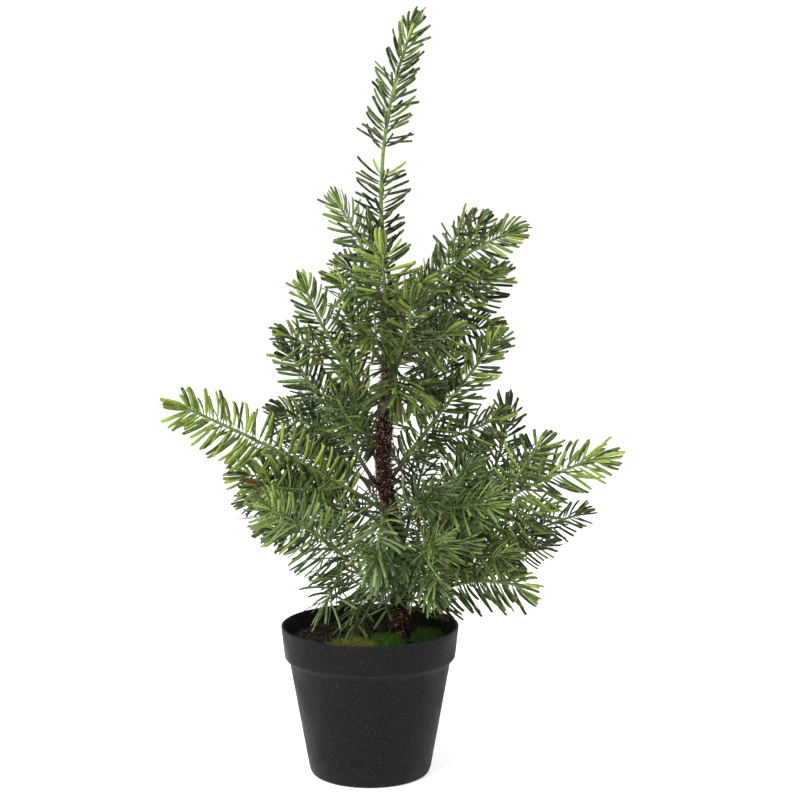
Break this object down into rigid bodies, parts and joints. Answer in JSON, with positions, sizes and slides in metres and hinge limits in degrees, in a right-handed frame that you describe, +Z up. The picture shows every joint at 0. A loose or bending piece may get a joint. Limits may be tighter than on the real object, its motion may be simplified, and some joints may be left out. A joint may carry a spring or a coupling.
{
  "type": "artificial tabletop tree",
  "caption": "Artificial tabletop tree: flat-needled bendable branches on a bark-wrapped trunk, standing in a weighted round tapered pot.",
  "frame": {"origin": "centre of the pot's flat underside", "axes": "+Z up along the pot's axis, +X to the tree's right and -Y towards its front"},
  "size_m": [0.3464, 0.2465, 0.6009],
  "materials": {
    "pot_plastic": "matte",
    "cement": "matte",
    "filler_foam": "matte",
    "soil_crumb": "matte",
    "moss_golden": "matte",
    "moss_green": "matte",
    "bark_fibre": "matte",
    "core_steel": "satin",
    "stem_coating": "satin",
    "needle_plastic": "satin"
  },
  "bodies": {
    "root": {"pot": "pot_plastic", "cement_ballast": "cement", "foam_filler": "filler_foam", "soil_cover": "soil_crumb", "moss_front_left": "moss_golden", "moss_centre": "moss_green", "moss_right": "moss_green", "trunk_core": "core_steel", "trunk_bark": "bark_fibre"},
    "branch_leader": {"wire_leader": "stem_coating", "needles_leader": "needle_plastic"},
    "branch_upper_left": {"wire_upper_left": "stem_coating", "needles_upper_left": "needle_plastic"},
    "branch_upper_right": {"wire_upper_right": "stem_coating", "needles_upper_right": "needle_plastic"},
    "branch_upper_front": {"wire_upper_front": "stem_coating", "needles_upper_front": "needle_plastic"},
    "branch_mid_front": {"wire_mid_front": "stem_coating", "needles_mid_front": "needle_plastic"},
    "branch_high_right": {"wire_high_right": "stem_coating", "needles_high_right": "needle_plastic"},
    "branch_high_left": {"wire_high_left": "stem_coating", "needles_high_left": "needle_plastic"},
    "branch_high_back_left": {"wire_high_back_left": "stem_coating", "needles_high_back_left": "needle_plastic"},
    "branch_mid_left": {"wire_mid_left": "stem_coating", "needles_mid_left": "needle_plastic"},
    "branch_twig_left": {"wire_twig_left": "stem_coating", "needles_twig_left": "needle_plastic"},
    "branch_low_left": {"wire_low_left": "stem_coating", "needles_low_left": "needle_plastic"},
    "branch_back_left": {"wire_back_left": "stem_coating", "needles_back_left": "needle_plastic"},
    "branch_lower_left": {"wire_lower_left": "stem_coating", "needles_lower_left": "needle_plastic"},
    "branch_front_left": {"wire_front_left": "stem_coating", "needles_front_left": "needle_plastic"},
    "branch_front_twig": {"wire_front_twig": "stem_coating", "needles_front_twig": "needle_plastic"},
    "branch_front_right": {"wire_front_right": "stem_coating", "needles_front_right": "needle_plastic"},
    "branch_right_front": {"wire_right_front": "stem_coating", "needles_right_front": "needle_plastic"},
    "branch_long_right": {"wire_long_right": "stem_coating", "needles_long_right": "needle_plastic"},
    "branch_back_right": {"wire_back_right": "stem_coating", "needles_back_right": "needle_plastic"},
    "branch_bottom_right": {"wire_bottom_right": "stem_coating", "needles_bottom_right": "needle_plastic"},
    "branch_mid_right": {"wire_mid_right": "stem_coating", "needles_mid_right": "needle_plastic"},
    "branch_fan_right": {"wire_fan_right": "stem_coating", "needles_fan_right": "needle_plastic"},
    "branch_low_back": {"wire_low_back": "stem_coating", "needles_low_back": "needle_plastic"},
    "branch_mid_back": {"wire_mid_back": "stem_coating", "needles_mid_back": "needle_plastic"},
    "branch_high_back": {"wire_high_back": "stem_coating", "needles_high_back": "needle_plastic"}
  },
  "joints": [
    {"name": "bend_leader", "type": "hinge", "parent": "root", "child": "branch_leader", "pos_m": [0.017, 0, 0.3867], "axis": [0, -1, 0], "range_deg": [-20, 10]},
    {"name": "bend_upper_left", "type": "hinge", "parent": "root", "child": "branch_upper_left", "pos_m": [0.01109, 0.00399, 0.36838], "axis": [0.5878, 0.809, 0], "range_deg": [-20, 3]},
    {"name": "bend_upper_right", "type": "hinge", "parent": "root", "child": "branch_upper_right", "pos_m": [0.02305, -0.00176, 0.36561], "axis": [-0.2588, -0.9659, 0], "range_deg": [-20, 18]},
    {"name": "bend_upper_front", "type": "hinge", "parent": "root", "child": "branch_upper_front", "pos_m": [0.01534, -0.00676, 0.36007], "axis": [-0.9903, 0.1392, 0], "range_deg": [-20, 12]},
    {"name": "bend_mid_front", "type": "hinge", "parent": "root", "child": "branch_mid_front", "pos_m": [0.01636, -0.00678, 0.32129], "axis": [-0.9659, -0.2588, 0], "range_deg": [-20, 12]},
    {"name": "bend_high_right", "type": "hinge", "parent": "root", "child": "branch_high_right", "pos_m": [0.02248, 0.00143, 0.34622], "axis": [0.2079, -0.9781, 0], "range_deg": [-20, 12]},
    {"name": "bend_high_left", "type": "hinge", "parent": "root", "child": "branch_high_left", "pos_m": [0.00589, -0.00124, 0.29636], "axis": [-0.1736, 0.9848, 0], "range_deg": [-12, 12]},
    {"name": "bend_high_back_left", "type": "hinge", "parent": "root", "child": "branch_high_back_left", "pos_m": [0.00991, 0.00495, 0.32683], "axis": [0.7071, 0.7071, 0], "range_deg": [-20, 15]},
    {"name": "bend_mid_left", "type": "hinge", "parent": "root", "child": "branch_mid_left", "pos_m": [0.0041, 0.00026, 0.23265], "axis": [0.0349, 0.9994, 0], "range_deg": [-20, 5]},
    {"name": "bend_twig_left", "type": "hinge", "parent": "root", "child": "branch_twig_left", "pos_m": [0.00674, -0.00574, 0.26866], "axis": [-0.788, 0.6157, 0], "range_deg": [-20, 15]},
    {"name": "bend_low_left", "type": "hinge", "parent": "root", "child": "branch_low_left", "pos_m": [0.00882, -0.00283, 0.21326], "axis": [-0.3746, 0.9272, 0], "range_deg": [-20, 14]},
    {"name": "bend_back_left", "type": "hinge", "parent": "root", "child": "branch_back_left", "pos_m": [0.00574, 0.00397, 0.22988], "axis": [0.5299, 0.848, 0], "range_deg": [-18, 15]},
    {"name": "bend_lower_left", "type": "hinge", "parent": "root", "child": "branch_lower_left", "pos_m": [0.01015, 0.00106, 0.20218], "axis": [0.1392, 0.9903, 0], "range_deg": [-20, 12]},
    {"name": "bend_front_left", "type": "hinge", "parent": "root", "child": "branch_front_left", "pos_m": [0.01663, -0.00492, 0.13016], "axis": [-0.6157, 0.788, 0], "range_deg": [-20, 10]},
    {"name": "bend_front_twig", "type": "hinge", "parent": "root", "child": "branch_front_twig", "pos_m": [0.01479, -0.00749, 0.21326], "axis": [-0.9903, 0.1392, 0], "range_deg": [-20, 20]},
    {"name": "bend_front_right", "type": "hinge", "parent": "root", "child": "branch_front_right", "pos_m": [0.02579, -0.00726, 0.16063], "axis": [-0.9272, -0.3746, 0], "range_deg": [-20, 12]},
    {"name": "bend_right_front", "type": "hinge", "parent": "root", "child": "branch_right_front", "pos_m": [0.02334, -0.00468, 0.20495], "axis": [-0.6157, -0.788, 0], "range_deg": [-18, 18]},
    {"name": "bend_long_right", "type": "hinge", "parent": "root", "child": "branch_long_right", "pos_m": [0.03078, -0.00136, 0.15786], "axis": [-0.1736, -0.9848, 0], "range_deg": [-20, 7]},
    {"name": "bend_back_right", "type": "hinge", "parent": "root", "child": "branch_back_right", "pos_m": [0.03101, 0.00218, 0.14401], "axis": [0.2756, -0.9613, 0], "range_deg": [-20, 9]},
    {"name": "bend_bottom_right", "type": "hinge", "parent": "root", "child": "branch_bottom_right", "pos_m": [0.0302, -0.003, 0.12739], "axis": [-0.3746, -0.9272, 0], "range_deg": [-20, 12]},
    {"name": "bend_mid_right", "type": "hinge", "parent": "root", "child": "branch_mid_right", "pos_m": [0.01813, -0.00104, 0.23819], "axis": [-0.1392, -0.9903, 0], "range_deg": [-20, 9]},
    {"name": "bend_fan_right", "type": "hinge", "parent": "root", "child": "branch_fan_right", "pos_m": [0.02851, 0.00328, 0.17448], "axis": [0.4226, -0.9063, 0], "range_deg": [-12, 15]},
    {"name": "bend_low_back", "type": "hinge", "parent": "root", "child": "branch_low_back", "pos_m": [0.02346, 0.00767, 0.16894], "axis": [0.9848, -0.1736, 0], "range_deg": [-20, 20]},
    {"name": "bend_mid_back", "type": "hinge", "parent": "root", "child": "branch_mid_back", "pos_m": [0.008, 0.00704, 0.2465], "axis": [0.9511, 0.309, 0], "range_deg": [-20, 20]},
    {"name": "bend_high_back", "type": "hinge", "parent": "root", "child": "branch_high_back", "pos_m": [0.01689, 0.00645, 0.31298], "axis": [0.9135, -0.4067, 0], "range_deg": [-20, 20]}
  ]
}
